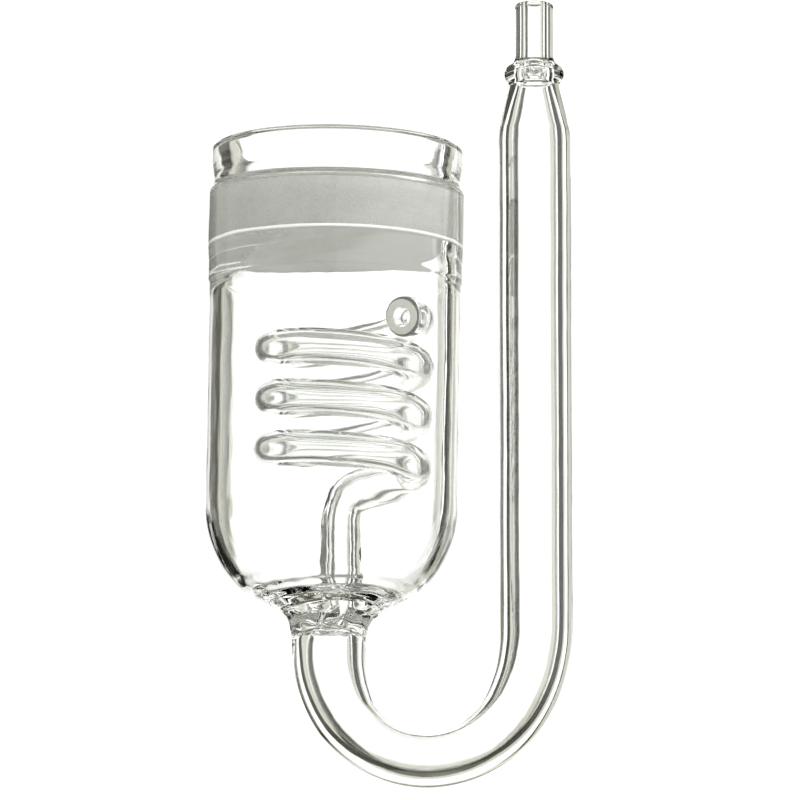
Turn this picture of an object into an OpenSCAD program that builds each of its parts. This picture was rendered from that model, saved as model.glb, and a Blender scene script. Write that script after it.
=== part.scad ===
// Glass CO2 diffuser: a cup with a porous disc, an internal spiral bubble
// counter, and a J-shaped feed tube ending in a small hose tip.
// Millimetres. +Z up, -X towards the cup, -Y towards the viewer.
// Origin: on the axis of the straight riser, at mid height of its grip length.

/* [Cup] */
// Outer diameter of the band that is shrunk on the porous disc
band_od = 35; // [34.6:0.1:36]
// Outer diameter of the clear collar above the disc
rim_od = 34.4; // [33.6:0.1:34.6]
// Bore of the clear collar above the disc
rim_bore = 27.6; // [27:0.2:29.6]
// Outer diameter of the thin cylindrical wall
barrel_od = 34.4; // [33.6:0.1:34.6]
// Bore of the thin cylindrical wall
barrel_bore = 30.2; // [29.6:0.1:31]
// Height of the open rim above the origin
rim_top = 31; // [29:0.1:34]
// Distance from the riser axis to the cup's neck
cup_offset = 28; // [27:0.1:32]
// Lean of the cup towards the riser, degrees
cup_lean = 0.9; // [0:0.1:2]

/* [Porous disc] */
// Diameter of the porous disc
disc_d = 31; // [30:0.1:31.6]
// Thickness of the porous disc
disc_t = 7; // [5:0.1:7.4]
// Height of the disc's top face above the origin
disc_top = 24; // [23:0.1:24.5]

/* [Spiral] */
// Number of full turns
spiral_turns = 3; // [2:1:3]
// Radius of the spiral's centreline
spiral_r = 9.7; // [8.5:0.1:10.5]
// Outer diameter of the spiral's tube
spiral_od = 4.9; // [4:0.1:5]
// Bore of the spiral's tube
spiral_bore = 2.6; // [1.5:0.1:3]
// Rise of one turn
spiral_pitch = 6.9; // [6:0.1:7.4]
// Sideways offset of the spiral from the cup's axis
spiral_offset = 1.4; // [0.6:0.1:1.6]

/* [Feed tube] */
// Outer diameter of the riser
riser_od = 10.1; // [9.4:0.1:11]
// Bore of the riser
riser_bore = 6; // [5:0.1:6.6]
// Outer diameter of the cup's leg, where the bend starts
leg_od = 10; // [9.4:0.1:11]
// In-plane thickness of the flattened bend at its lowest point
bend_t = 7.4; // [6.8:0.1:9]
// Width of the bend across its plane, at its lowest point
bend_w = 8.8; // [8.2:0.1:10]
// Height of the riser's upper end above the origin
riser_top = 31.3; // [28:0.1:34]

/* [Hose tip] */
// Outer diameter of the hose tip
tip_od = 5.3; // [4.8:0.1:6]
// Bore of the hose tip
tip_bore = 2.6; // [1.4:0.1:2.8]
// Outer diameter of the bead ring
bead_od = 8.2; // [7.6:0.1:9]
// Length of the hose tip above the bead ring
tip_len = 8.4; // [7:0.1:16]

/* [Hidden] */
$fn = 96;

disc_bottom = disc_top - disc_t;
barrel_bottom = -18;      // where the straight wall turns into the dome
floor_top = -30.5;        // inner face of the thick floor
neck_top = -34;           // weld of the dome and the neck
leg_top = -37.3;          // weld of the neck and the bent tube
bore_top = -35.4;         // end of the wide bore inside the neck
riser_bottom = -32.9;     // weld of the bend and the riser
shoulder_top = riser_top + 8.2;
bead_top = shoulder_top + 3.1;
passage_r = 1.3;          // fine gas passage through the floor
leg_bore = riser_bore + 0.2;
spiral_z = -14.1;         // centreline of the spiral where it starts
spiral_rock = 0.45;       // the turns rise a little more on the left
stem_top = -21.5;

glass = [0.80, 0.88, 0.87, 0.55];
thick_glass = [0.70, 0.80, 0.79, 0.65];
frosted = [0.80, 0.80, 0.78];
inner_glass = [0.62, 0.76, 0.78, 0.80];

// ---- small curve kit ------------------------------------------------------
function unit(v) = v / norm(v);
function smooth(t) = let(c = min(max(t, 0), 1)) c * c * (3 - 2 * c);
function cubic(a, b, c, d, t) =
    0.5 * (2 * b + (c - a) * t + (2 * a - 5 * b + 4 * c - d) * t * t
           + (3 * b - a - 3 * c + d) * t * t * t);
// Point at u, from 0 to len(p) - 1, on a smooth curve through the points p
function curve(p, u) =
    let(n = len(p) - 1, i = min(floor(u), n - 1), t = u - i,
        a = i > 0 ? p[i - 1] : 2 * p[0] - p[1],
        d = i + 2 <= n ? p[i + 2] : 2 * p[n] - p[n - 1])
    cubic(a, p[i], p[i + 1], d, t);
function curve_points(p, per) =
    [for (k = [0 : (len(p) - 1) * per]) curve(p, k / per)];
function tangents(c, t0, t1) =
    [for (i = [0 : len(c) - 1])
        i == 0 ? unit(t0) : i == len(c) - 1 ? unit(t1) : unit(c[i + 1] - c[i - 1])];
// One normal per ring, carried along the curve without twist
function carried(t, n0, i = 0, acc = []) =
    i == len(t) ? acc :
    let(p = i == 0 ? n0 : acc[i - 1], n = unit(p - (p * t[i]) * t[i]))
    carried(t, n0, i + 1, concat(acc, [n]));

// Closed tube along c. o and b hold, per ring, the outer and bore half
// widths [along the normal, across it]. e shifts the bore along the normal.
module swept_tube(c, t, n, o, b, sides, e = []) {
    m = len(c);
    function ring(k, w, q = 0) = [for (j = [0 : sides - 1])
        c[k] + (q + w[0] * cos(360 * j / sides)) * n[k]
             + w[1] * sin(360 * j / sides) * cross(t[k], n[k])];
    pts = concat([for (k = [0 : m - 1]) each ring(k, o[k])],
                 [for (k = [0 : m - 1]) each ring(k, b[k], len(e) > 0 ? e[k] : 0)]);
    q = m * sides;
    z = (m - 1) * sides;
    function nx(j) = (j + 1) % sides;
    polyhedron(pts, concat(
        [for (k = [0 : m - 2]) for (j = [0 : sides - 1])
            [k * sides + j, (k + 1) * sides + j, (k + 1) * sides + nx(j), k * sides + nx(j)]],
        [for (k = [0 : m - 2]) for (j = [0 : sides - 1])
            [q + k * sides + j, q + k * sides + nx(j), q + (k + 1) * sides + nx(j), q + (k + 1) * sides + j]],
        [for (j = [0 : sides - 1]) [j, nx(j), q + nx(j), q + j]],
        [for (j = [0 : sides - 1]) [z + j, q + z + j, q + z + nx(j), z + nx(j)]]),
        convexity = 6);
}

// Turned part from an outer and an inner list of [radius, height], both upwards
module turned(outer, inner) {
    rotate_extrude() polygon(concat(outer, [for (i = [len(inner) - 1 : -1 : 0]) inner[i]]));
}

// The cup and all it holds lean together about the weld above the bend
module cup_frame() {
    translate([-cup_offset, 0, leg_top]) rotate([0, cup_lean, 0])
        translate([0, 0, -leg_top]) children();
}

// ---- cup ------------------------------------------------------------------
module rim_ring() {
    ro = rim_od / 2;
    ri = rim_bore / 2;
    w = (ro - ri) / 2;      // half wall
    lip = 0.8;              // height of the fire-polished lip
    arc = [for (a = [0 : 15 : 180]) [ri + w + w * cos(a), rim_top - lip + lip * sin(a)]];
    color(glass) cup_frame() rotate_extrude()
        polygon(concat([[ri, disc_top], [band_od / 2, disc_top], [band_od / 2 - 0.1, disc_top + 0.4],
                        [ro - 0.25, disc_top + 1.1], [ro - 0.15, disc_top + 2.2]], arc));
}

module disc_band() {
    color(thick_glass) cup_frame()
        turned([[band_od / 2, disc_bottom], [band_od / 2, disc_top]],
               [[disc_d / 2, disc_bottom], [disc_d / 2, disc_top]]);
}

module frit_disc() {
    color(frosted) cup_frame() translate([0, 0, disc_bottom]) cylinder(d = disc_d, h = disc_t);
}

module upper_seal() {
    ri = rim_bore / 2;
    f = 0.9;                // fillet size
    color(thick_glass) cup_frame() rotate_extrude()
        polygon(concat([[ri, disc_top]],
            [for (a = [0 : 15 : 90]) [ri - f + f * sin(a), disc_top + f - f * cos(a)]]));
}

module lower_seal() {
    ri = barrel_bore / 2;
    w = 1.4;                // how far the seal reaches over the disc's face
    h = 7;                  // how far it runs down the wall
    color(thick_glass) cup_frame() rotate_extrude()
        polygon(concat([[ri, disc_bottom], [ri - w, disc_bottom]],
            [for (s = [0.1 : 0.1 : 1]) [ri - w * pow(1 - s, 1.8), disc_bottom - h * s]]));
}

module bell_barrel() {
    ro = barrel_od / 2;
    step = 5;               // height of the thickened wall below the band
    color(glass) cup_frame()
        turned([[ro, barrel_bottom], [ro, disc_bottom - step], [ro + 0.15, disc_bottom - step + 0.5],
                [band_od / 2, disc_bottom]],
               [[barrel_bore / 2, barrel_bottom], [barrel_bore / 2, disc_bottom]]);
}

// Outer and inner outlines of the dome, from the neck up to the straight wall
dome_outer = [[5.9, -34], [7.4, -32.8], [9.6, -31.6], [12, -30.2], [14.2, -27.9],
              [15.7, -25.3], [16.7, -22.6], [barrel_od / 2 - 0.05, -20], [barrel_od / 2, -18]];
dome_inner = [[0, floor_top], [3.8, floor_top], [7, -30.5], [9.1, -30.3], [11.15, -29.2],
              [13, -27.1], [14.15, -24.6], [14.85, -22.1], [barrel_bore / 2 - 0.03, -20],
              [barrel_bore / 2, -18]];

module bell_floor() {
    color(glass) cup_frame() difference() {
        turned(concat([[0, neck_top]], curve_points(dome_outer, 3)), curve_points(dome_inner, 3));
        // fine passage, from under the stem down to the middle of the neck
        translate([0, 0, neck_top]) rotate([0, atan(spiral_offset / (floor_top - neck_top)), 0])
            translate([0, 0, -2]) cylinder(r = passage_r, h = 12);
    }
}

module neck() {
    color(thick_glass) cup_frame()
        turned([[leg_od / 2, leg_top], [leg_od / 2 + 0.15, leg_top + 0.9],
                [leg_od / 2 + 0.4, leg_top + 2], [5.9, neck_top]],
               [[leg_bore / 2, leg_top], [leg_bore / 2, bore_top - 0.9], [leg_bore / 2 - 0.3, bore_top - 0.25],
                [leg_bore / 2 - 1, bore_top], [passage_r, bore_top + 0.1], [passage_r, neck_top]]);
}

// ---- bubble counter -------------------------------------------------------
module stem() {
    color(inner_glass) cup_frame() translate([spiral_offset, 0, 0])
        turned([[3.8, floor_top], [3.3, floor_top + 0.4], [2.95, floor_top + 1.2],
                [2.8, floor_top + 2.6], [2.75, stem_top]],
               [[passage_r, floor_top], [passage_r, stem_top]]);
}

// Centreline of the spiral at angle a, left handed, with a drooping open end
function spiral_at(a) =
    let(last = 360 * spiral_turns + 37, d = max(0, (a - (last - 60)) / 60))
    [spiral_offset + spiral_r * cos(a), -spiral_r * sin(a),
     spiral_z + spiral_pitch * a / 360 + spiral_rock * cos(a) - 1.2 * d * d];
function spiral_dir(a) = unit(spiral_at(a + 0.5) - spiral_at(a - 0.5));

// Hand-laid centreline from the stem up and round to the spiral's first turn
function bend_route() =
    let(s = spiral_at(0), o = spiral_offset)
    [[o, 0, stem_top], [o, 0.2, -19.7], [o + 0.5, 1.1, -17.7], [o + 2.1, 2.8, -16],
     [o + 4.7, 4.2, -15], [o + 7.5, 4.1, -14.4], [s[0] - 0.25, 2.3, -14], s];

module stem_bend() {
    c = curve_points(bend_route(), 3);
    t = tangents(c, [0, 0, 1], spiral_dir(0));
    n = carried(t, [1, 0, 0]);
    w = [for (k = [0 : len(c) - 1]) let(s = k / (len(c) - 1))
         2.75 + (spiral_od / 2 - 2.75) * smooth(s * 1.3)];
    h = [for (k = [0 : len(c) - 1]) let(s = k / (len(c) - 1))
         passage_r + (spiral_bore / 2 - passage_r) * s];
    color(inner_glass) cup_frame()
        swept_tube(c, t, n, [for (x = w) [x, x]], [for (x = h) [x, x]], 16);
}

module spiral() {
    last = 360 * spiral_turns + 37;
    m = 27 * spiral_turns + 2;
    a = [for (k = [0 : m]) last * k / m];
    c = [for (x = a) spiral_at(x)];
    t = [for (x = a) spiral_dir(x)];
    n = [for (k = [0 : m]) let(r = [cos(a[k]), -sin(a[k]), 0]) unit(r - (r * t[k]) * t[k])];
    // the open end is a little wider and its edge is rounded
    w = [for (x = a) spiral_od / 2 + 0.3 * smooth((x - last + 16) / 9) - 0.2 * smooth((x - last + 4) / 4)];
    color(inner_glass) cup_frame()
        swept_tube(c, t, n, [for (x = w) [x, x]], [for (x = w) [spiral_bore / 2, spiral_bore / 2]], 14);
}

// ---- feed tube ------------------------------------------------------------
// Centreline of the bend as fractions of the distance to the cup, and heights
function u_route() =
    let(x = -cup_offset)
    [[x, 0, leg_top], [x * 0.995, 0, -41], [x * 0.965, 0, -44.6], [x * 0.905, 0, -48],
     [x * 0.80, 0, -50.9], [x * 0.66, 0, -52.8], [x * 0.50, 0, -53.3], [x * 0.345, 0, -52.3],
     [x * 0.21, 0, -50], [x * 0.105, 0, -46.6], [x * 0.035, 0, -42.2], [x * 0.004, 0, -37.6],
     [0, 0, riser_bottom]];

module u_bend() {
    per = 3;
    c = curve_points(u_route(), per);
    m = len(c) - 1;
    t = tangents(c, [-sin(cup_lean), 0, -cos(cup_lean)], [0, 0, 1]);
    n = [for (v = t) [v[2], 0, -v[0]]];
    // 0 at both legs, 1 round the bottom of the bend
    f = [for (k = [0 : m]) let(s = k / m) smooth(s / 0.42) * smooth((1 - s) / 0.5)];
    r = [for (k = [0 : m]) (leg_od + (riser_od - leg_od) * k / m) / 2];
    rb = [for (k = [0 : m]) (leg_bore + (riser_bore - leg_bore) * k / m) / 2];
    // the wall is thin on the inside of the bend and thick on the outside
    color(glass) swept_tube(c, t, n,
        [for (k = [0 : m]) [r[k] + (bend_t / 2 - r[k]) * f[k], r[k] + (bend_w / 2 - r[k]) * f[k]]],
        [for (k = [0 : m]) [rb[k] + (bend_t / 2 - 1.35 - rb[k]) * f[k],
                            rb[k] + (bend_w / 2 - 1.5 - rb[k]) * f[k]]], 20,
        [for (k = [0 : m]) -0.55 * f[k]]);
}

module riser() {
    color(glass) translate([0, 0, riser_bottom]) difference() {
        cylinder(d = riser_od, h = riser_top - riser_bottom);
        translate([0, 0, -1]) cylinder(d = riser_bore, h = riser_top - riser_bottom + 2);
    }
}

module shoulder() {
    z = riser_top;
    ro = riser_od / 2;
    color(glass)
        turned([[ro, z], [ro - 0.05, z + 1], [ro - 0.34, z + 2.4], [ro - 0.7, z + 4.1],
                [ro - 1.06, z + 5.7], [ro - 1.42, z + 7.2], [3.45, shoulder_top]],
               [[riser_bore / 2, z], [riser_bore / 2 - 0.05, z + 1.3], [riser_bore / 2 - 0.2, z + 2.4],
                [riser_bore / 2 - 0.55, z + 4.1], [riser_bore / 2 - 0.9, z + 5.7],
                [tip_bore / 2 + 0.45, shoulder_top - 0.9], [tip_bore / 2 + 0.3, shoulder_top]]);
}

module bead() {
    zc = (shoulder_top + bead_top) / 2;
    h = (bead_top - shoulder_top) / 2;
    rb = tip_bore / 2;
    rn = 3.3;               // radius at the bead's two ends
    color(thick_glass)
        turned([for (a = [-90 : 15 : 90]) [rn + (bead_od / 2 - rn) * cos(a), zc + h * sin(a)]],
               [[rb + 0.3, shoulder_top], [rb + 0.25, shoulder_top + 0.4], [rb + 0.75, zc],
                [rb + 0.25, bead_top - 0.4], [rb, bead_top]]);
}

module hose_tip() {
    flare = 0.9;            // short root flare above the bead
    h = tip_len - flare;
    color(glass) {
        difference() {
            union() {
                translate([0, 0, bead_top]) cylinder(r1 = 3.1, d2 = tip_od, h = flare);
                translate([0, 0, bead_top + flare]) cylinder(d = tip_od, h = h - 0.5);
                // fire-polished end
                translate([0, 0, bead_top + tip_len - 0.5])
                    rotate_extrude() polygon(concat([[0, 0], [tip_od / 2, 0]],
                        [for (a = [15 : 15 : 90]) [tip_od / 2 - 0.6 + 0.6 * cos(a), 0.5 * sin(a)]], [[0, 0.5]]));
            }
            translate([0, 0, bead_top - 1]) cylinder(d = tip_bore, h = tip_len + 2);
        }
    }
}

rim_ring();
disc_band();
frit_disc();
upper_seal();
lower_seal();
bell_barrel();
bell_floor();
neck();
stem();
stem_bend();
spiral();
u_bend();
riser();
shoulder();
bead();
hose_tip();
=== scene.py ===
import bpy
import math
import numpy as np
from mathutils import Matrix, Vector


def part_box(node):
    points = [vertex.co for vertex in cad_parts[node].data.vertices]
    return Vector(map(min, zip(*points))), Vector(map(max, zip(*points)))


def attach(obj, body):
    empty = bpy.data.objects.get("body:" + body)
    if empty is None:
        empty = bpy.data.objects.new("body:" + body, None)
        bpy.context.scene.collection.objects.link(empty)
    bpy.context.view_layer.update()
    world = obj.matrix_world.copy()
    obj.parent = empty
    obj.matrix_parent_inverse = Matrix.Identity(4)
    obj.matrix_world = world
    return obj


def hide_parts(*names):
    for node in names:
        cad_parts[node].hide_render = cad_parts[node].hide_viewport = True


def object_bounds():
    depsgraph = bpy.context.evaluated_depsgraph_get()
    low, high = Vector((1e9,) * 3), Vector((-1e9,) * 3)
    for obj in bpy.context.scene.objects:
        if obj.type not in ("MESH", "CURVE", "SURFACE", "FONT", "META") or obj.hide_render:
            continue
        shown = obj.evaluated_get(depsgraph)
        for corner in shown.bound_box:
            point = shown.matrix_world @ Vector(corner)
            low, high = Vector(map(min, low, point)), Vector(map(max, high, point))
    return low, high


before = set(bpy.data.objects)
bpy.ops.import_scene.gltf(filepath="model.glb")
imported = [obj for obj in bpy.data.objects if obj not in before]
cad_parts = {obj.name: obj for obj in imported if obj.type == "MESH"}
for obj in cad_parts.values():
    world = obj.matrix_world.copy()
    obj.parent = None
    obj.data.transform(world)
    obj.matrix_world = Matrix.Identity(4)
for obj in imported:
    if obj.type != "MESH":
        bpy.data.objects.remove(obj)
cad_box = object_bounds()

# ---------------------------------------------------------------- sizes, mm
# The row frame: origin on the riser's axis, +Z up, -X towards the cup.
def span(node):
    lo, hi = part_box(node)
    return [c * 1000 for c in lo], [c * 1000 for c in hi]


(r_lo, r_hi), (s_lo, s_hi) = span("riser"), span("shoulder")
(b_lo, b_hi), (t_lo, t_hi) = span("bead"), span("hose_tip")
RISER_R = (r_hi[0] - r_lo[0]) / 2
RISER_Z0, RISER_Z1 = r_lo[2], r_hi[2]
SHOULDER_Z1 = s_hi[2]
BEAD_Z1, BEAD_R = b_hi[2], (b_hi[1] - b_lo[1]) / 2
TIP_Z1 = t_hi[2]
BAND_R = (span("disc_band")[1][1] - span("disc_band")[0][1]) / 2
DISC_R = (span("frit_disc")[1][1] - span("frit_disc")[0][1]) / 2
BARREL_R = span("bell_floor")[1][1]
RIM_R = 17.2
CUP_X, CUP_LEAN, CUP_Z = -28.0, math.radians(0.9), -37.3
DISC_Z1, DISC_Z0, RIM_Z1 = 24.0, 17.0, 31.0
RIM_BORE, BARREL_BORE = 13.8, 15.1
BARREL_Z0, FLOOR_Z, NECK_Z1, LEG_Z = -18.0, -30.5, -34.0, -37.3
PASSAGE = 1.3
RISER_BORE, LEG_R, LEG_BORE = 3.0, 5.0, 3.1
BEND_T, BEND_W = 3.7, 4.4
TIP_R, TIP_BORE = 2.65, 1.3
COIL_X, COIL_R, COIL_W, COIL_BORE, COIL_PITCH, COIL_TURNS = 1.4, 9.7, 2.45, 1.3, 6.9, 3
COIL_Z, COIL_ROCK = -14.1, 0.45
STEM_Z1 = -21.5

cup = (Matrix.Translation((CUP_X, 0, CUP_Z)) @ Matrix.Rotation(CUP_LEAN, 4, "Y")
       @ Matrix.Translation((0, 0, -CUP_Z)))
CUP_M = np.array(cup)
ROW_M = np.eye(4)

# ---------------------------------------------------------------- small kit
rng = np.random.RandomState(41)


def waves(count, shortest, longest):
    k = rng.normal(size=(count, 3))
    k /= np.linalg.norm(k, axis=1)[:, None]
    k *= (2 * math.pi / rng.uniform(shortest, longest, count))[:, None]
    return k, rng.uniform(0, 2 * math.pi, (count, 3)), rng.normal(size=(count, 3)) / math.sqrt(count)


COARSE, FINE, MELT, KNOT = waves(14, 14, 34), waves(16, 4.5, 9), waves(22, 2.6, 5.5), waves(24, 1.3, 2.6)


def field(p, w):
    k, ph, a = w
    arg = p @ k.T
    return np.stack([(np.sin(arg + ph[:, c]) * a[:, c]).sum(1) for c in range(3)], 1)


def smooth(t):
    t = np.clip(t, 0, 1)
    return t * t * (3 - 2 * t)


def lampwork(p):
    """Every glass vertex is moved by the same smooth field, so welded faces stay together: a faint wobble
    all over, and strong ripples where the glass was melted, at the cup's floor and neck."""
    q = p - [CUP_X, 0, 0]
    ring = np.hypot(q[:, 0], q[:, 1])
    cup_side = p[:, 0] < -9
    melt = smooth((15 - np.linalg.norm(q * [0.85, 0.85, 1.5] - [0, 0, -47], axis=1)) / 9)
    seal = smooth(1 - np.abs(p[:, 2] - 17.5) / 9) * cup_side
    coil = smooth((12.9 - ring) / 0.4) * smooth((p[:, 2] + 27) / 3) * smooth((12 - p[:, 2]) / 2) * cup_side
    swirl = np.sin(2 * math.pi * ring / 1.9 + 2.2 * np.sin(np.arctan2(q[:, 1], q[:, 0]) * 2 + 0.6) + 0.9 * p[:, 2])
    low = smooth((-26.5 - p[:, 2]) / 2.0) * smooth((p[:, 2] + 38) / 4) * smooth((15 - ring) / 4) * cup_side
    knot = smooth((p[:, 2] + 37) / 1.5) * smooth((-31.5 - p[:, 2]) / 1.5) * smooth((9 - ring) / 3) * cup_side
    moved = p + (field(p, COARSE) * (0.022 + 0.03 * coil)[:, None] + field(p, FINE) * (0.005 + 0.02 * seal + 0.036 * coil)[:, None]
                 + field(p, MELT) * (0.055 * melt)[:, None] + field(p, KNOT) * (0.045 * knot)[:, None])
    moved[:, 2] += 0.045 * swirl * low
    # drawn in by a thousandth, so that no ripple stands outside the part
    centre = (np.array(cad_box[0]) + np.array(cad_box[1])) * 500
    return centre + (moved - centre) * 0.999


def rows(points, per):
    """A smooth curve through given points, per steps between each two."""
    p = np.array(points, float)
    n = len(p) - 1
    ext = np.vstack([2 * p[0] - p[1], p, 2 * p[n] - p[n - 1]])
    out = []
    for i in range(n):
        a, b, c, d = ext[i:i + 4]
        for s in range(per):
            t = s / per
            out.append(0.5 * (2 * b + (c - a) * t + (2 * a - 5 * b + 4 * c - d) * t ** 2
                              + (3 * b - a - 3 * c + d) * t ** 3))
    out.append(p[n])
    return [tuple(q) for q in out]


def line(a, b, step=1.2):
    n = max(1, int(math.ceil(math.dist(a, b) / step)))
    return [tuple(np.array(a) + (np.array(b) - np.array(a)) * i / n) for i in range(n + 1)]


def build(name, verts, faces, slots, mats, where=ROW_M, wobble=True, angle=38):
    v = np.asarray(verts, float)
    v = v @ where[:3, :3].T + where[:3, 3]
    if wobble:
        v = lampwork(v)
    me = bpy.data.meshes.new(name)
    me.from_pydata((v * 0.001).tolist(), [], [tuple(f) for f in faces])
    for m in mats:
        me.materials.append(m)
    me.polygons.foreach_set("material_index", slots)
    me.polygons.foreach_set("use_smooth", [True] * len(me.polygons))
    me.update()
    me.set_sharp_from_angle(angle=math.radians(angle))
    ob = bpy.data.objects.new(name, me)
    bpy.context.scene.collection.objects.link(ob)
    return ob


def lathe(name, parts, mats, where=ROW_M, n=160, shape=None, closed=True, **kw):
    """parts is a list of (points, material): the outline in (radius, height), anticlockwise seen with the radius
    to the right, so that faces look outwards. shape(r, angle, z) may move the rings."""
    pts, seg = [], []
    for k, (p, m) in enumerate(parts):
        p = list(p)
        if pts and math.dist(pts[-1], p[0]) < 1e-6:
            p = p[1:]
            seg += [m] * len(p)
        elif pts:
            seg += [m] * len(p)
        else:
            seg += [m] * (len(p) - 1)
        pts += p
    if closed:
        if math.dist(pts[0], pts[-1]) < 1e-6:
            pts = pts[:-1]
        else:
            seg.append(parts[-1][1])
    r, z = np.array(pts).T
    a = np.arange(n) * 2 * math.pi / n
    m = len(pts)
    R, A = np.meshgrid(r, a, indexing="ij")
    Z = np.repeat(z[:, None], n, 1)
    X, Y = R * np.cos(A), R * np.sin(A)
    if shape:
        X, Y, Z = shape(X, Y, Z, R, A)
    pole = {i: 0 for i in range(m) if r[i] < 1e-6}
    index, verts, at = [], [], 0
    for i in range(m):
        if i in pole:
            verts.append([[X[i, 0], Y[i, 0], Z[i, 0]]])
            index.append([at] * n)
            at += 1
        else:
            verts.append(np.stack([X[i], Y[i], Z[i]], 1))
            index.append(list(range(at, at + n)))
            at += n
    faces, slots = [], []
    for i in range(m if closed else m - 1):
        k = (i + 1) % m
        if i in pole and k in pole:
            continue
        for j in range(n):
            jj = (j + 1) % n
            f = [index[i][j], index[i][jj], index[k][jj], index[k][j]]
            f = [q for c, q in enumerate(f) if q not in f[:c]]
            faces.append(f)
            slots.append(seg[i])
    return build(name, np.vstack(verts), faces, slots, mats, where, **kw)


def frames(c, t0, t1, n0):
    t = np.gradient(c, axis=0)
    t[0], t[-1] = t0, t1
    t /= np.linalg.norm(t, axis=1)[:, None]
    n = np.zeros_like(c)
    p = np.array(n0, float)
    for i in range(len(c)):
        p = p - (p @ t[i]) * t[i]
        p /= np.linalg.norm(p)
        n[i] = p
    return t, n


def tube(name, c, t, n, outer, inner, mats, ends, sides=72, where=ROW_M, off=None, **kw):
    """A tube with a bore along c. outer and inner are [along n, across n] half widths, one pair for each ring.
    ends are the two end faces' materials; off shifts the bore along n."""
    c, b = np.array(c), np.cross(t, n)
    a = np.arange(sides) * 2 * math.pi / sides
    m = len(c)
    off = np.zeros(m) if off is None else off
    ring = lambda i, w, s: c[i] + s * n[i] + np.outer(np.cos(a), n[i]) * w[0] + np.outer(np.sin(a), b[i]) * w[1]
    verts = [ring(i, outer[i], 0) for i in range(m)] + [ring(i, inner[i], off[i]) for i in range(m)]
    faces, slots = [], []
    nxt = [(j + 1) % sides for j in range(sides)]
    for i in range(m - 1):
        for j in range(sides):
            faces.append([i * sides + j, i * sides + nxt[j], (i + 1) * sides + nxt[j], (i + 1) * sides + j])
            slots.append(0)
    q = m * sides
    for i in range(m - 1):
        for j in range(sides):
            faces.append([q + i * sides + j, q + (i + 1) * sides + j, q + (i + 1) * sides + nxt[j], q + i * sides + nxt[j]])
            slots.append(0)
    e = (m - 1) * sides
    for j in range(sides):
        faces.append([j, q + j, q + nxt[j], nxt[j]])
        slots.append(ends[0])
        faces.append([e + j, e + nxt[j], q + e + nxt[j], q + e + j])
        slots.append(ends[1])
    return build(name, np.vstack(verts), faces, slots, mats, where, **kw)


# ---------------------------------------------------------------- materials
def nodes_of(name):
    mat = bpy.data.materials.new(name)
    mat.use_nodes = True
    nt = mat.node_tree
    bsdf = nt.nodes["Principled BSDF"]
    return mat, nt, bsdf


def add(nt, kind, **values):
    n = nt.nodes.new(kind)
    for k, v in values.items():
        if k in n.inputs:
            n.inputs[k].default_value = v
        else:
            setattr(n, k, v)
    return n


def glass(name, colour, draw=(900, 900, 120), strength=0.05):
    """Clear borosilicate. The bump is the faint draw lines and orange peel of fire-polished tube."""
    mat, nt, p = nodes_of(name)
    p.inputs["Base Color"].default_value = (*colour, 1)
    p.inputs["Transmission Weight"].default_value = 1.0
    p.inputs["Roughness"].default_value = 0.0
    p.inputs["IOR"].default_value = 1.47
    co = add(nt, "ShaderNodeTexCoord")
    mp = add(nt, "ShaderNodeMapping")
    mp.inputs["Scale"].default_value = draw
    nz = add(nt, "ShaderNodeTexNoise", Scale=1.0, Detail=2.0, Roughness=0.45)
    bp = add(nt, "ShaderNodeBump", Strength=strength, Distance=0.0002)
    nt.links.new(co.outputs["Object"], mp.inputs["Vector"])
    nt.links.new(mp.outputs["Vector"], nz.inputs["Vector"])
    nt.links.new(nz.outputs["Fac"], bp.inputs["Height"])
    nt.links.new(bp.outputs["Normal"], p.inputs["Normal"])
    return mat


def weld():
    """Inside a weld there is no surface: the faces where two pieces of glass were melted together don't show."""
    mat = bpy.data.materials.new("weld")
    mat.use_nodes = True
    nt = mat.node_tree
    nt.nodes.clear()
    out = nt.nodes.new("ShaderNodeOutputMaterial")
    tr = nt.nodes.new("ShaderNodeBsdfTransparent")
    nt.links.new(tr.outputs["BSDF"], out.inputs["Surface"])
    return mat


def ground():
    """The end of the spiral, ground flat with coarse grit."""
    mat, nt, p = nodes_of("ground_end")
    co = add(nt, "ShaderNodeTexCoord")
    nz = add(nt, "ShaderNodeTexNoise", Scale=5200.0, Detail=4.0, Roughness=0.6)
    cr = add(nt, "ShaderNodeValToRGB")
    cr.color_ramp.elements[0].position, cr.color_ramp.elements[0].color = 0.35, (0.66, 0.66, 0.58, 1)
    cr.color_ramp.elements[1].position, cr.color_ramp.elements[1].color = 0.70, (0.82, 0.82, 0.75, 1)
    bp = add(nt, "ShaderNodeBump", Strength=0.5, Distance=0.00005)
    nt.links.new(co.outputs["Object"], nz.inputs["Vector"])
    nt.links.new(nz.outputs["Fac"], cr.inputs["Fac"])
    nt.links.new(cr.outputs["Color"], p.inputs["Base Color"])
    nt.links.new(nz.outputs["Fac"], bp.inputs["Height"])
    nt.links.new(bp.outputs["Normal"], p.inputs["Normal"])
    p.inputs["Roughness"].default_value = 0.85
    return mat


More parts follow.
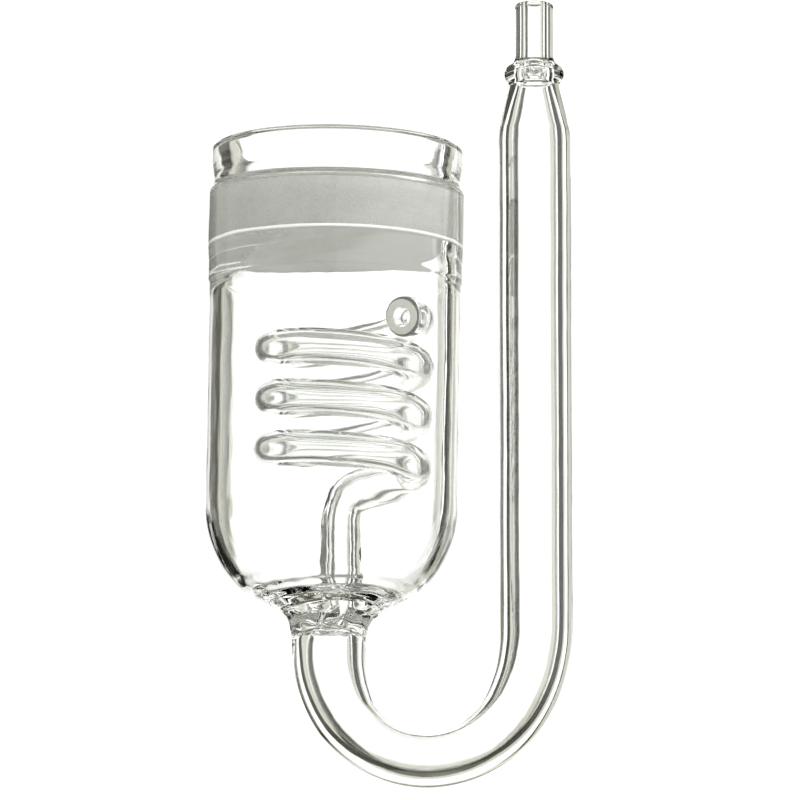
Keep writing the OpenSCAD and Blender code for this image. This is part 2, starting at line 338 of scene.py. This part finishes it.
def sintered(name="sintered", through=0.0):
    """Sintered disc: fine grains with darker pores, matt. The emission set by the last argument is a painted glow,
    standing in for the light that comes through from above.
    """
    mat, nt, p = nodes_of(name)
    p.inputs["Emission Color"].default_value = (0.96, 0.97, 0.90, 1)
    p.inputs["Emission Strength"].default_value = through
    co = add(nt, "ShaderNodeTexCoord")
    grain = add(nt, "ShaderNodeTexVoronoi", Scale=4200.0)
    cloud = add(nt, "ShaderNodeTexNoise", Scale=260.0, Detail=5.0, Roughness=0.6)
    cr = add(nt, "ShaderNodeValToRGB")
    cr.color_ramp.elements[0].position, cr.color_ramp.elements[0].color = 0.30, (0.75, 0.76, 0.73, 1)
    cr.color_ramp.elements[1].position, cr.color_ramp.elements[1].color = 0.75, (0.86, 0.87, 0.84, 1)
    pore = add(nt, "ShaderNodeValToRGB")
    pore.color_ramp.elements[0].position, pore.color_ramp.elements[0].color = 0.0, (1, 1, 1, 1)
    pore.color_ramp.elements[1].position, pore.color_ramp.elements[1].color = 0.8, (0.86, 0.86, 0.85, 1)
    mix = add(nt, "ShaderNodeMix", data_type="RGBA", blend_type="MULTIPLY")
    mix.inputs["Factor"].default_value = 1.0
    bp = add(nt, "ShaderNodeBump", Strength=0.6, Distance=0.00006)
    nt.links.new(co.outputs["Object"], grain.inputs["Vector"])
    nt.links.new(co.outputs["Object"], cloud.inputs["Vector"])
    nt.links.new(cloud.outputs["Fac"], cr.inputs["Fac"])
    nt.links.new(grain.outputs["Distance"], pore.inputs["Fac"])
    nt.links.new(cr.outputs["Color"], mix.inputs[6])
    nt.links.new(pore.outputs["Color"], mix.inputs[7])
    nt.links.new(mix.outputs[2], p.inputs["Base Color"])
    nt.links.new(grain.outputs["Distance"], bp.inputs["Height"])
    nt.links.new(bp.outputs["Normal"], p.inputs["Normal"])
    p.inputs["Roughness"].default_value = 0.95
    return mat


def painted_edge_highlight():
    """The disc's lower edge ring, smoother and whiter than its faces and glowing: a painted highlight for the thin
    bright line of light along the disc's lower edge.
    """
    mat, nt, p = nodes_of("painted_edge_highlight_ring")
    co = add(nt, "ShaderNodeTexCoord")
    nz = add(nt, "ShaderNodeTexNoise", Scale=900.0, Detail=3.0, Roughness=0.5)
    cr = add(nt, "ShaderNodeValToRGB")
    cr.color_ramp.elements[0].color = (0.90, 0.90, 0.88, 1)
    cr.color_ramp.elements[1].color = (0.98, 0.98, 0.97, 1)
    nt.links.new(co.outputs["Object"], nz.inputs["Vector"])
    nt.links.new(nz.outputs["Fac"], cr.inputs["Fac"])
    nt.links.new(cr.outputs["Color"], p.inputs["Base Color"])
    nt.links.new(cr.outputs["Color"], p.inputs["Emission Color"])
    # the edge ring gives off light of its own: a painted highlight
    p.inputs["Emission Strength"].default_value = 0.48
    p.inputs["Roughness"].default_value = 0.7
    return mat


CLEAR = glass("clear_glass", (0.985, 0.99, 0.985))
FUSED = glass("fused_glass", (0.98, 0.985, 0.975), draw=(600, 600, 600), strength=0.08)
COILED = glass("spiral_glass", (0.985, 0.99, 0.985), draw=(500, 500, 500), strength=0.05)
WELD, GROUND, SINTER, PAINTED_EDGE_HIGHLIGHT = weld(), ground(), sintered(), painted_edge_highlight()
# the disc's underside glows: painted light standing in for light that comes through the disc from above
SINTER_PAINTED_GLOW = sintered("sintered_under_painted_glow", 0.18)
G, W, E = 0, 1, 2   # glass, weld, ground end


def keep(ob, node):
    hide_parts(node)
    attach(ob, "root")
    return ob


# ---------------------------------------------------------------- cup
lip = [(RIM_BORE + 1.7 + 1.7 * math.cos(a), RIM_Z1 - 0.8 + 0.8 * math.sin(a)) for a in np.linspace(0, math.pi, 19)]
rim_out = rows([(BAND_R, DISC_Z1), (BAND_R - 0.05, DISC_Z1 + 0.35), (RIM_R - 0.1, DISC_Z1 + 0.95), (RIM_R - 0.3, DISC_Z1 + 2.0),
                (RIM_R - 0.15, DISC_Z1 + 3.4), (RIM_R, DISC_Z1 + 4.6), (RIM_BORE + 3.4, RIM_Z1 - 0.8)], 5)
keep(lathe("rim_ring_glass", [
    (line((RIM_BORE, DISC_Z1), (BAND_R, DISC_Z1)), W),
    (rim_out, G), (lip, G),
    (line((RIM_BORE, RIM_Z1 - 0.8), (RIM_BORE, DISC_Z1 + 0.9), 0.8), G),
    (line((RIM_BORE, DISC_Z1 + 0.9), (RIM_BORE, DISC_Z1), 0.3), W)], [CLEAR, WELD], CUP_M, n=224), "rim_ring")

keep(lathe("disc_band_glass", [
    (line((DISC_R, DISC_Z0), (BAND_R, DISC_Z0)), W),
    (line((BAND_R, DISC_Z0), (BAND_R, DISC_Z1)), G),
    (line((BAND_R, DISC_Z1), (DISC_R, DISC_Z1)), W),
    (line((DISC_R, DISC_Z1), (DISC_R, DISC_Z0)), W)], [FUSED, WELD], CUP_M, n=224), "disc_band")

d, e = 0.02, 0.36
# the ring on the disc's lower edge (slot 1) carries a painted highlight, the underside (slot 2) a painted glow
keep(lathe("frit_disc_body", [
    (line((0, DISC_Z0 + d), (DISC_R - d - e, DISC_Z0 + d), 1.0), E),
    ([(DISC_R - d - e, DISC_Z0 + d), (DISC_R - d - e * 0.3, DISC_Z0 + d + e * 0.3), (DISC_R - d, DISC_Z0 + d + e)], W),
    (line((DISC_R - d, DISC_Z0 + d + e), (DISC_R - d, DISC_Z1 - d - 0.25)), G),
    ([(DISC_R - d, DISC_Z1 - d - 0.25), (DISC_R - d - 0.07, DISC_Z1 - d - 0.07), (DISC_R - d - 0.25, DISC_Z1 - d)], G),
    (line((DISC_R - d - 0.25, DISC_Z1 - d), (0, DISC_Z1 - d), 1.0), G)], [SINTER, PAINTED_EDGE_HIGHLIGHT, SINTER_PAINTED_GLOW], CUP_M, n=192, closed=False), "frit_disc")

SEAL_H = 7.0


def upper_shape(X, Y, Z, R, A):
    grow = 1 + 0.35 * np.sin(2 * A + 0.6) + 0.2 * np.sin(5 * A + 2.0)
    Rn = np.where(R < RIM_BORE - 1e-6, RIM_BORE - (RIM_BORE - R) * grow, R)
    Rn = np.where(np.abs(Z - (DISC_Z1 + 0.9)) < 1e-6, RIM_BORE, Rn)
    return Rn * np.cos(A), Rn * np.sin(A), Z


fillet = [(RIM_BORE - 0.9 + 0.9 * math.sin(a), DISC_Z1 + 0.9 - 0.9 * math.cos(a)) for a in np.linspace(math.pi / 2, 0, 9)]
keep(lathe("upper_seal_glass", [
    (line((RIM_BORE - 0.9, DISC_Z1), (RIM_BORE, DISC_Z1), 0.3), W),
    (line((RIM_BORE, DISC_Z1), (RIM_BORE, DISC_Z1 + 0.9), 0.3), W),
    (fillet, G)], [FUSED, WELD], CUP_M, n=224, shape=upper_shape), "upper_seal")


def lower_shape(X, Y, Z, R, A):
    # the seal flowed thicker on the side away from the riser
    grow = (1.3 - 0.95 * np.cos(A) + 0.16 * np.sin(3 * A + 1) + 0.10 * np.sin(5 * A)) / 1.4
    Rn = BARREL_BORE - (BARREL_BORE - R) * grow
    return Rn * np.cos(A), Rn * np.sin(A), Z


seal_in = [(BARREL_BORE - 1.4 * (1 - s) ** 1.8, DISC_Z0 - SEAL_H * s) for s in np.linspace(1, 0, 25)]
keep(lathe("lower_seal_glass", [
    (line((BARREL_BORE, DISC_Z0 - SEAL_H), (BARREL_BORE, DISC_Z0), 0.5), W),
    (line((BARREL_BORE, DISC_Z0), (BARREL_BORE - 1.4, DISC_Z0), 0.4), W),
    (seal_in[::-1], G)], [FUSED, WELD], CUP_M, n=224, shape=lower_shape), "lower_seal")

step = rows([(BARREL_R, DISC_Z0 - 6.2), (BARREL_R + 0.02, DISC_Z0 - 5.4), (BARREL_R + 0.16, DISC_Z0 - 4.8),
             (BARREL_R + 0.16, DISC_Z0 - 3.6), (BARREL_R + 0.2, DISC_Z0 - 2.0), (BAND_R - 0.02, DISC_Z0 - 0.8), (BAND_R, DISC_Z0)], 4)
keep(lathe("bell_barrel_glass", [
    (line((BARREL_BORE, BARREL_Z0), (BARREL_R, BARREL_Z0)), W),
    (line((BARREL_R, BARREL_Z0), (BARREL_R, DISC_Z0 - 6.2)), G), (step, G),
    (line((BAND_R, DISC_Z0), (BARREL_BORE, DISC_Z0)), W),
    (line((BARREL_BORE, DISC_Z0), (BARREL_BORE, DISC_Z0 - SEAL_H), 0.5), W),
    (line((BARREL_BORE, DISC_Z0 - SEAL_H), (BARREL_BORE, BARREL_Z0)), G)], [CLEAR, WELD], CUP_M, n=224), "bell_barrel")

dome_out = rows([(5.9, -34), (7.4, -32.8), (9.6, -31.6), (12, -30.2), (14.2, -27.9), (15.7, -25.3), (16.7, -22.6),
                 (BARREL_R - 0.05, -20), (BARREL_R, BARREL_Z0)], 7)
dome_in = rows([(3.8, FLOOR_Z), (7, -30.5), (9.1, -30.3), (11.15, -29.2), (13, -27.1), (14.15, -24.6), (14.85, -22.1),
                (BARREL_BORE - 0.03, -20), (BARREL_BORE, BARREL_Z0)], 7)


def floor_shape(X, Y, Z, R, A):
    # the fine passage slants from the stem, which stands off centre, to the middle of the neck
    shift = COIL_X * np.clip((Z - NECK_Z1) / (FLOOR_Z - NECK_Z1), 0, 1) * (1 - smooth((R - 3.9) / 6))
    return X + shift, Y, Z


keep(lathe("bell_floor_glass", [
    (line((PASSAGE, NECK_Z1), (5.9, NECK_Z1), 0.5), W),
    (dome_out, G),
    (line((BARREL_R, BARREL_Z0), (BARREL_BORE, BARREL_Z0)), W),
    (dome_in[::-1], G),
    (line((3.8, FLOOR_Z), (PASSAGE, FLOOR_Z), 0.4), W),
    (line((PASSAGE, FLOOR_Z), (PASSAGE, NECK_Z1), 0.5), G)], [CLEAR, WELD], CUP_M, n=224, shape=floor_shape), "bell_floor")

neck_out = rows([(LEG_R, LEG_Z), (5.1, -36.5), (5.3, -35.4), (5.55, -34.6), (5.9, NECK_Z1)], 6)
neck_in = rows([(LEG_BORE, LEG_Z), (LEG_BORE, -36.4), (LEG_BORE - 0.15, -35.9), (LEG_BORE - 0.55, -35.5),
                (1.9, -35.35), (PASSAGE + 0.1, -35.25), (PASSAGE, -34.9), (PASSAGE, NECK_Z1)], 6)
keep(lathe("neck_glass", [
    (line((LEG_BORE, LEG_Z), (LEG_R, LEG_Z), 0.5), W),
    (neck_out, G),
    (line((5.9, NECK_Z1), (PASSAGE, NECK_Z1), 0.5), W),
    (neck_in[::-1], G)], [FUSED, WELD], CUP_M, n=128), "neck")

# ---------------------------------------------------------------- bubble counter
SHIFT = CUP_M @ np.array(Matrix.Translation((COIL_X, 0, 0)))
foot = rows([(3.8, FLOOR_Z), (3.35, FLOOR_Z + 0.4), (2.98, FLOOR_Z + 1.2), (2.82, FLOOR_Z + 2.6), (2.78, -25.6),
             (2.75, STEM_Z1)], 6)
keep(lathe("stem_glass", [
    (line((PASSAGE, FLOOR_Z), (3.8, FLOOR_Z), 0.4), W),
    (foot, G),
    (line((2.75, STEM_Z1), (PASSAGE, STEM_Z1), 0.5), W),
    (line((PASSAGE, STEM_Z1), (PASSAGE, FLOOR_Z), 0.5), G)], [COILED, WELD], SHIFT, n=96), "stem")

LAST = math.radians(360 * COIL_TURNS + 37)


def coil_at(a):
    a = np.asarray(a, float)
    droop = np.clip((np.degrees(a) - (360 * COIL_TURNS + 37 - 60)) / 60, 0, None)
    return np.stack([COIL_X + COIL_R * np.cos(a), -COIL_R * np.sin(a),
                     COIL_Z + COIL_PITCH * a / (2 * math.pi) + COIL_ROCK * np.cos(a) - 1.2 * droop ** 2], -1)


START_DIR = coil_at(0.01) - coil_at(-0.01)
s0 = coil_at(0)
route = rows([(COIL_X, 0, STEM_Z1), (COIL_X, 0.2, -19.7), (COIL_X + 0.5, 1.1, -17.7), (COIL_X + 2.1, 2.8, -16),
              (COIL_X + 4.7, 4.2, -15), (COIL_X + 7.5, 4.1, -14.4), (s0[0] - 0.25, 2.3, -14), tuple(s0)], 9)
c = np.array(route)
t, n = frames(c, (0, 0, 1), START_DIR, (1, 0, 0))
u = np.linspace(0, 1, len(c))
w = 2.75 + (COIL_W - 2.75) * smooth(u * 1.3)
h = PASSAGE + (COIL_BORE - PASSAGE) * u
keep(tube("stem_bend_glass", c, t, n, np.stack([w, w], 1), np.stack([h, h], 1), [COILED, WELD], (W, W), 96, CUP_M),
     "stem_bend")

m = 400
a = np.linspace(0, LAST, m)
c = coil_at(a)
t, _ = frames(c, START_DIR, coil_at(LAST + 0.01) - coil_at(LAST - 0.01), (1, 0, 0))
n = np.stack([np.cos(a), -np.sin(a), 0 * a], 1)
n -= (n * t).sum(1)[:, None] * t
n /= np.linalg.norm(n, axis=1)[:, None]
deg = np.degrees(a - LAST)
w = COIL_W + 0.3 * smooth((deg + 16) / 9)
h = np.full(m, COIL_BORE)
h = h + 0.05 * smooth((deg + 6) / 6)
# the last rings round the edge of the open end over
extra = np.array([(0.20, -0.03), (0.36, -0.11), (0.46, -0.24), (0.50, -0.36)])
c = np.vstack([c, [c[-1] + t[-1] * e[0] for e in extra]])
t, n = np.vstack([t, [t[-1]] * 4]), np.vstack([n, [n[-1]] * 4])
w, h = np.r_[w, w[-1] + extra[:, 1]], np.r_[h, [h[-1]] * 4]
keep(tube("spiral_glass_tube", c, t, n, np.stack([w, w], 1), np.stack([h, h], 1), [COILED, WELD, GROUND], (W, E), 72, CUP_M),
     "spiral")

# ---------------------------------------------------------------- feed tube
X = CUP_X
leg_dir = np.array([-math.sin(CUP_LEAN), 0, -math.cos(CUP_LEAN)])
bend = rows([(X, 0, LEG_Z), (X * 0.995, 0, -41), (X * 0.965, 0, -44.6), (X * 0.905, 0, -48), (X * 0.80, 0, -50.9),
             (X * 0.66, 0, -52.8), (X * 0.50, 0, -53.3), (X * 0.345, 0, -52.3), (X * 0.21, 0, -50), (X * 0.105, 0, -46.6),
             (X * 0.035, 0, -42.2), (X * 0.004, 0, -37.6), (0, 0, RISER_Z0)], 11)
c = np.array(bend)
t, _ = frames(c, leg_dir, (0, 0, 1), (0, 1, 0))
n = np.stack([t[:, 2], 0 * t[:, 0], -t[:, 0]], 1)
u = np.linspace(0, 1, len(c))
f = smooth(u / 0.42) * smooth((1 - u) / 0.5)
ro, rb = LEG_R + (RISER_R - LEG_R) * u, LEG_BORE + (RISER_BORE - LEG_BORE) * u
keep(tube("u_bend_glass", c, t, n, np.stack([ro + (BEND_T - ro) * f, ro + (BEND_W - ro) * f], 1),
          np.stack([rb + (BEND_T - 1.35 - rb) * f, rb + (BEND_W - 1.5 - rb) * f], 1), [CLEAR, WELD], (W, W), 112,
          off=-0.55 * f), "u_bend")

keep(lathe("riser_glass", [
    (line((RISER_BORE, RISER_Z0), (RISER_R, RISER_Z0), 0.5), W),
    (line((RISER_R, RISER_Z0), (RISER_R, RISER_Z1)), G),
    (line((RISER_R, RISER_Z1), (RISER_BORE, RISER_Z1), 0.5), W),
    (line((RISER_BORE, RISER_Z1), (RISER_BORE, RISER_Z0)), G)], [CLEAR, WELD], n=112), "riser")

z = RISER_Z1
NECK_W = 3.4
sh_out = rows([(RISER_R, z), (RISER_R, z + 0.35), (RISER_R - 0.03, z + 0.9), (RISER_R - 0.14, z + 1.6), (RISER_R - 0.34, z + 2.4),
               (RISER_R - 0.70, z + 4.1), (RISER_R - 1.06, z + 5.7), (NECK_W + 0.22, z + 7.2), (NECK_W, SHOULDER_Z1)], 6)
sh_in = rows([(RISER_BORE, z), (RISER_BORE, z + 0.5), (RISER_BORE - 0.05, z + 1.3), (RISER_BORE - 0.2, z + 2.4),
              (RISER_BORE - 0.55, z + 4.1), (RISER_BORE - 0.9, z + 5.7), (TIP_BORE + 0.45, z + 7.3), (TIP_BORE + 0.3, SHOULDER_Z1)], 6)
keep(lathe("shoulder_glass", [
    (line((RISER_BORE, z), (RISER_R, z), 0.5), W), (sh_out, G),
    (line((NECK_W, SHOULDER_Z1), (TIP_BORE + 0.3, SHOULDER_Z1), 0.5), W),
    (sh_in[::-1], G)], [CLEAR, WELD], n=112), "shoulder")

zc, hh = (SHOULDER_Z1 + BEAD_Z1) / 2, (BEAD_Z1 - SHOULDER_Z1) / 2
TOP_W = 3.0
bead_out = rows([(NECK_W, SHOULDER_Z1), (NECK_W + 0.12, zc - hh * 0.86), (BEAD_R - 0.22, zc - hh * 0.55), (BEAD_R, zc),
                 (BEAD_R - 0.22, zc + hh * 0.55), (TOP_W + 0.22, zc + hh * 0.9), (TOP_W, BEAD_Z1)], 7)
bead_in = rows([(TIP_BORE + 0.3, SHOULDER_Z1), (TIP_BORE + 0.02, zc - hh * 0.84), (TIP_BORE + 0.02, zc - hh * 0.70),
                (TIP_BORE + 0.5, zc - hh * 0.58), (TIP_BORE + 0.62, zc - hh * 0.2), (TIP_BORE + 0.55, zc + hh * 0.35),
                (TIP_BORE - 0.15, zc + hh * 0.52), (TIP_BORE - 0.15, zc + hh * 0.74), (TIP_BORE, BEAD_Z1)], 6)
keep(lathe("bead_glass", [
    (line((TIP_BORE + 0.3, SHOULDER_Z1), (NECK_W, SHOULDER_Z1), 0.4), W), (bead_out, G),
    (line((TOP_W, BEAD_Z1), (TIP_BORE, BEAD_Z1), 0.4), W),
    (bead_in[::-1], G)], [FUSED, WELD], n=112), "bead")

tip_out = rows([(TOP_W, BEAD_Z1), (TIP_R + 0.08, BEAD_Z1 + 0.5), (TIP_R, BEAD_Z1 + 1.0), (TIP_R, BEAD_Z1 + 1.8)], 5)
tip_end = [(TIP_R - 0.6 + 0.6 * math.cos(a), TIP_Z1 - 0.5 + 0.5 * math.sin(a)) for a in np.linspace(0, math.pi / 2, 9)]
bore_end = [(TIP_BORE + 0.3 - 0.3 * math.cos(a), TIP_Z1 - 0.3 + 0.3 * math.sin(a)) for a in np.linspace(math.pi / 2, 0, 7)]
keep(lathe("hose_tip_glass", [
    (line((TIP_BORE, BEAD_Z1), (TOP_W, BEAD_Z1), 0.4), W), (tip_out, G),
    (line((TIP_R, BEAD_Z1 + 1.8), (TIP_R, TIP_Z1 - 0.5)), G), (tip_end, G), (bore_end, G),
    (line((TIP_BORE, TIP_Z1 - 0.3), (TIP_BORE, BEAD_Z1)), G)], [CLEAR, WELD], n=96), "hose_tip")

# ---------------------------------------------------------------- camera
ELEVATION = math.radians(9)
target = Vector((-0.0184, 0, -0.0041))
ahead = Vector((0, math.cos(ELEVATION), math.sin(ELEVATION)))
cam = bpy.data.cameras.new("camera")
cam.lens, cam.sensor_width = 298, 36
cam.clip_start, cam.clip_end = 0.05, 20
cam_ob = bpy.data.objects.new("camera", cam)
cam_ob.location = target - ahead * 0.9
cam_ob.rotation_euler = (math.pi / 2 + ELEVATION, 0, 0)
bpy.context.scene.collection.objects.link(cam_ob)
bpy.context.scene.camera = cam_ob

# ---------------------------------------------------------------- floor
me = bpy.data.meshes.new("floor")
bm_n = 64
ring = [(4.0 * math.cos(i * 2 * math.pi / bm_n), 4.0 * math.sin(i * 2 * math.pi / bm_n), -0.30) for i in range(bm_n)]
me.from_pydata(ring, [], [list(range(bm_n))])
floor = bpy.data.objects.new("floor", me)
bpy.context.scene.collection.objects.link(floor)
mat, nt, p = nodes_of("floor_pale")
p.inputs["Base Color"].default_value = (0.86, 0.86, 0.85, 1)
p.inputs["Roughness"].default_value = 0.8
p.inputs["Emission Color"].default_value = (1, 0.995, 0.98, 1)
p.inputs["Emission Strength"].default_value = 0.5
geo = add(nt, "ShaderNodeNewGeometry")
clear = add(nt, "ShaderNodeBsdfTransparent")
mix = add(nt, "ShaderNodeMixShader")
nt.links.new(geo.outputs["Backfacing"], mix.inputs[0])
nt.links.new(p.outputs["BSDF"], mix.inputs[1])
nt.links.new(clear.outputs["BSDF"], mix.inputs[2])
nt.links.new(mix.outputs[0], nt.nodes["Material Output"].inputs["Surface"])
me.materials.append(mat)
floor.visible_transmission = floor.visible_glossy = floor.visible_diffuse = False

# ---------------------------------------------------------------- soft studio light
world = bpy.data.worlds.new("studio")
bpy.context.scene.world = world
world.use_nodes = True
nt = world.node_tree
nt.nodes.clear()


def op(kind, a, b=None, c=None, clamp=False):
    nd = nt.nodes.new("ShaderNodeMath")
    nd.operation, nd.use_clamp = kind, clamp
    for i, v in enumerate((a, b, c)):
        if v is None:
            continue
        if isinstance(v, (int, float)):
            nd.inputs[i].default_value = v
        else:
            nt.links.new(v, nd.inputs[i])
    return nd.outputs[0]


def step_up(v, lo, hi):
    nd = nt.nodes.new("ShaderNodeMapRange")
    nd.interpolation_type = "SMOOTHSTEP"
    nt.links.new(v, nd.inputs["Value"])
    nd.inputs["From Min"].default_value, nd.inputs["From Max"].default_value = lo, hi
    return nd.outputs["Result"]


co = nt.nodes.new("ShaderNodeTexCoord")
sp = nt.nodes.new("ShaderNodeSeparateXYZ")
nt.links.new(co.outputs["Generated"], sp.inputs[0])
x, y, z = sp.outputs
turn = op("MULTIPLY", op("ARCTAN2", x, y), 180 / math.pi)   # degrees from straight behind, + to the right
away = op("ABSOLUTE", turn)
left = op("MULTIPLY", turn, -1)
# a white sheet hangs behind; beside it the room is dark as far as the lamps at the sides
left_gap = op("MULTIPLY", step_up(left, 14, 20), op("SUBTRACT", 1, op("ADD", op("MULTIPLY", step_up(left, 38, 46), 0.55),
                                                                  op("MULTIPLY", step_up(left, 60, 70), 0.45))))
right_gap = op("MULTIPLY", op("ADD", op("MULTIPLY", step_up(turn, 15, 20), 0.5), op("MULTIPLY", step_up(turn, 28, 34), 0.5)),
               op("SUBTRACT", 1, step_up(turn, 60, 68)))
gap = op("MULTIPLY", op("ADD", left_gap, right_gap), op("SUBTRACT", 1, step_up(z, 0.60, 0.80)))
ceiling = op("MULTIPLY", step_up(z, 0.72, 0.80), 0.9)
# the sheet ends a little below the glass; under it the bench is dim, with a small lamp straight below
down = op("MULTIPLY", z, -1)
bench = op("ADD", op("MULTIPLY", step_up(down, 0.24, 0.36), 0.45), op("MULTIPLY", step_up(down, 0.46, 0.58), 0.49))
bench = op("MULTIPLY", bench, op("SUBTRACT", 1, step_up(down, 0.93, 0.96)))
dark = op("MAXIMUM", bench, op("MAXIMUM", gap, ceiling))
side = op("MULTIPLY", step_up(away, 60, 80), op("SUBTRACT", 1, step_up(away, 120, 165)))
front = step_up(away, 100, 150)
key = op("MULTIPLY", step_up(turn, 60, 120), op("SUBTRACT", 1, step_up(turn, 140, 175)))
level = op("ADD", op("ADD", 1.25, op("MULTIPLY", side, 0.35)), op("SUBTRACT", op("MULTIPLY", key, 0.5), op("MULTIPLY", front, -0.15)))
level = op("SUBTRACT", level, op("MULTIPLY", step_up(left, 50, 90), 0.52))
light = op("ADD", op("MULTIPLY", level, op("SUBTRACT", 1, dark)), op("MULTIPLY", dark, 0.02))
# seen directly, the backdrop is plain white
path = nt.nodes.new("ShaderNodeLightPath")
seen = path.outputs["Is Camera Ray"]
light = op("ADD", op("MULTIPLY", light, op("SUBTRACT", 1, seen)), op("MULTIPLY", 1.25, seen))
bg = nt.nodes.new("ShaderNodeBackground")
nt.links.new(light, bg.inputs["Strength"])
tint = nt.nodes.new("ShaderNodeMix")
tint.data_type = "RGBA"
tint.inputs[6].default_value, tint.inputs[7].default_value = (1.0, 1.0, 0.985, 1), (1.0, 0.98, 0.72, 1)
nt.links.new(op("MULTIPLY", dark, op("SUBTRACT", 1, seen)), tint.inputs["Factor"])
nt.links.new(tint.outputs[2], bg.inputs["Color"])
out = nt.nodes.new("ShaderNodeOutputWorld")
nt.links.new(bg.outputs[0], out.inputs["Surface"])

scene = bpy.context.scene
scene.view_settings.view_transform = "Standard"
scene.view_settings.look = "None"
scene.cycles.max_bounces = 40
scene.cycles.transmission_bounces = 36
scene.cycles.glossy_bounces = 12
scene.cycles.transparent_max_bounces = 64
scene.cycles.diffuse_bounces = 4
scene.cycles.blur_glossy = 0.3
